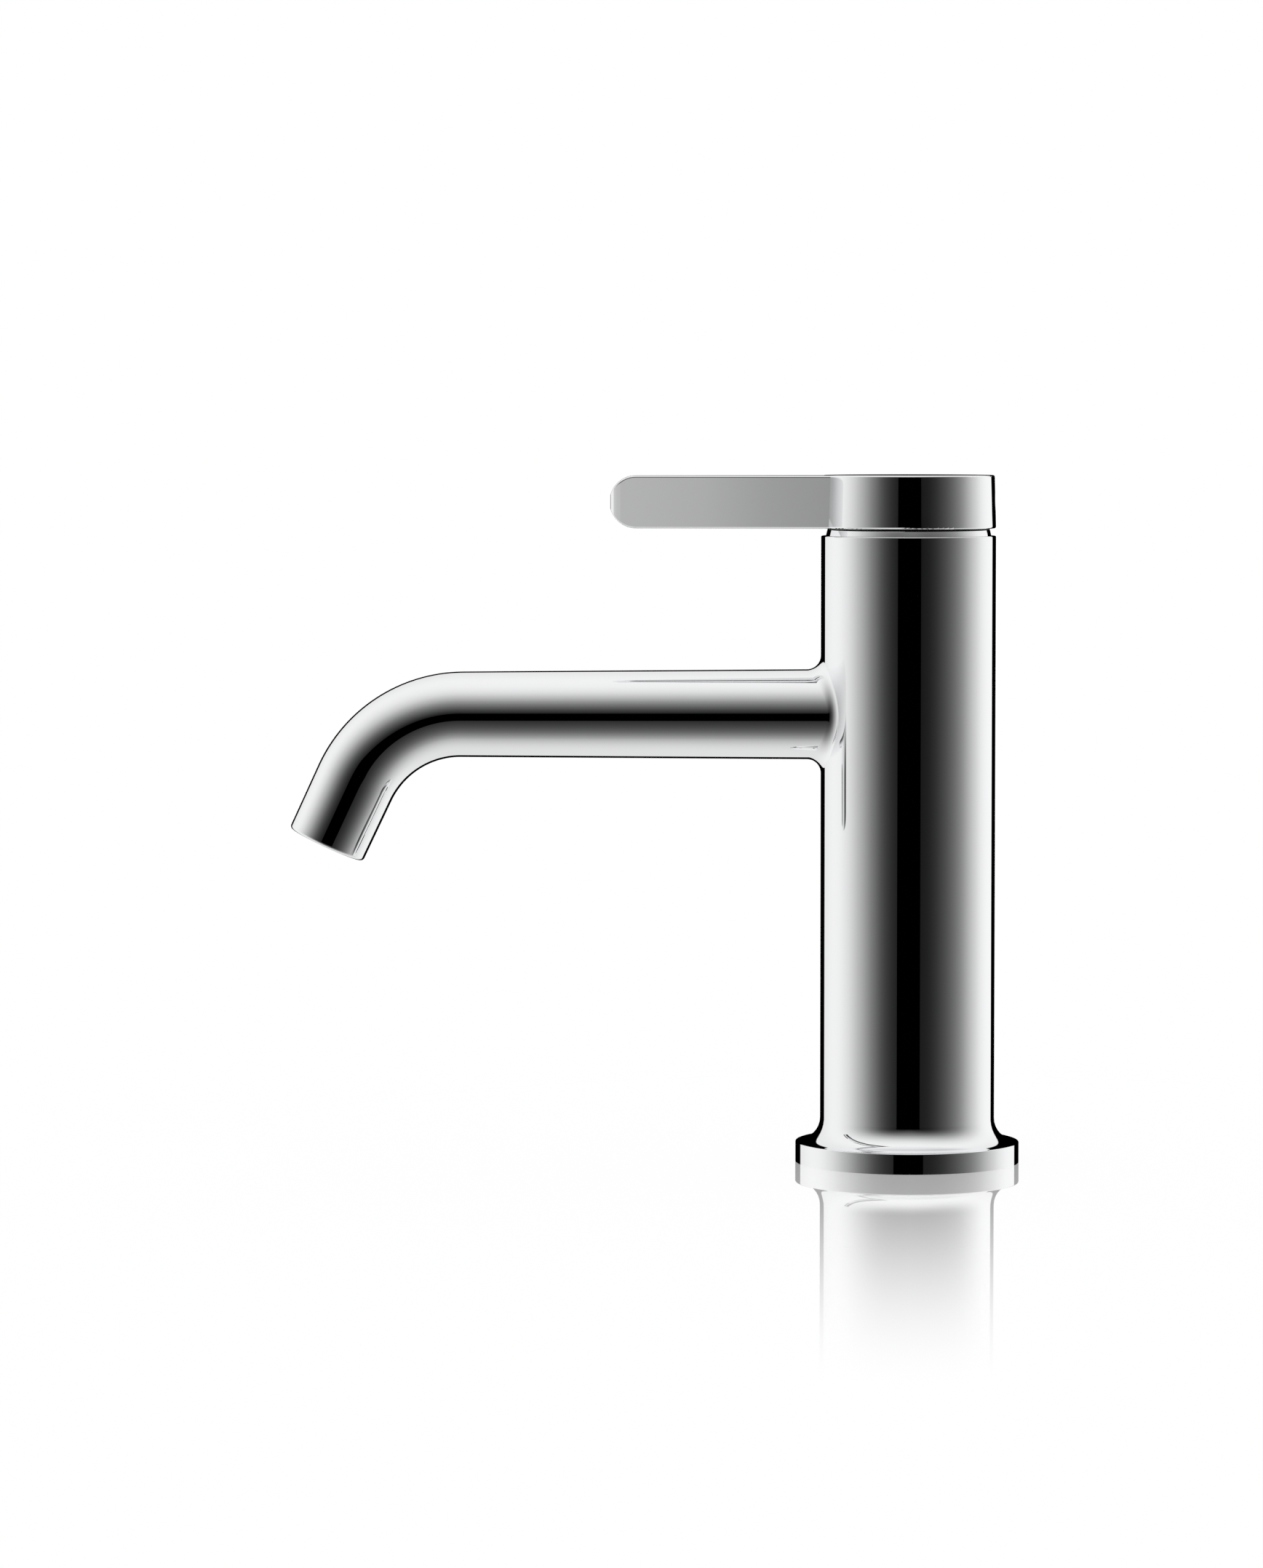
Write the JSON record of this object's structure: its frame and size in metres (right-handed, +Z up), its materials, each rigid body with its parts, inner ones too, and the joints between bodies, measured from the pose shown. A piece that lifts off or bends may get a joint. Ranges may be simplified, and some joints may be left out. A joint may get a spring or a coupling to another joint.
{
  "type": "bathroom mixer faucet",
  "caption": "Chrome single-lever basin mixer: slim column on a round foot, tapered spout that bends down, cylindrical cap with a wedge lever.",
  "frame": {"origin": "centre of the foot's underside, on the deck surface", "axes": "+Z up along the column, spout and lever towards -X, +Y completes the right-handed frame"},
  "size_m": [0.1693, 0.052, 0.1598],
  "materials": {
    "chrome_plate": "polished",
    "brass": "satin",
    "steel": "satin",
    "ceramic": "polished",
    "cartridge_plastic": "satin",
    "carrier_plastic": "satin",
    "limiter_plastic": "satin",
    "aerator_plastic": "satin",
    "rubber": "matte"
  },
  "bodies": {
    "faucet_body": {"mixer_body": "chrome_plate", "base_gasket": "rubber", "stud_holder": "brass", "valve_core": "brass", "core_lower_o_ring": "rubber", "core_upper_o_ring": "rubber", "cartridge_base": "cartridge_plastic", "hot_seat_seal": "rubber", "cold_seat_seal": "rubber", "mixed_seat_seal": "rubber", "disc_seal": "rubber", "fixed_ceramic_disc": "ceramic", "cartridge_housing": "cartridge_plastic", "cartridge_nut": "brass", "dome_ring": "chrome_plate", "dome_ring_o_ring": "rubber", "aerator_housing": "aerator_plastic", "aerator_insert": "aerator_plastic", "aerator_screen": "steel", "aerator_seal": "rubber"},
    "turning_carrier": {"stem_carrier": "carrier_plastic", "carrier_o_ring": "rubber", "pivot_pin": "steel", "temperature_limit_ring": "limiter_plastic"},
    "lever": {"lever_handle": "chrome_plate", "lever_stem": "steel", "handle_set_screw": "steel", "screw_plug": "chrome_plate"},
    "moving_disc": {"moving_ceramic_disc": "ceramic", "disc_driver": "carrier_plastic"}
  },
  "joints": [
    {"name": "temperature_turn", "type": "hinge", "parent": "faucet_body", "child": "turning_carrier", "pos_m": [0, 0, 0.1345], "axis": [0, 0, 1], "range_deg": [-50, 50]},
    {"name": "lever_lift", "type": "hinge", "parent": "turning_carrier", "child": "lever", "pos_m": [0, 0, 0.1345], "axis": [0, 1, 0], "range_deg": [0, 22]},
    {"name": "disc_slide", "type": "slide", "parent": "turning_carrier", "child": "moving_disc", "axis": [-1, 0, 0], "range_m": [0, 0.0025]}
  ],
  "couplings": [
    {"joint": "disc_slide", "follows": "lever_lift", "m_per_rad": 0.0063}
  ]
}
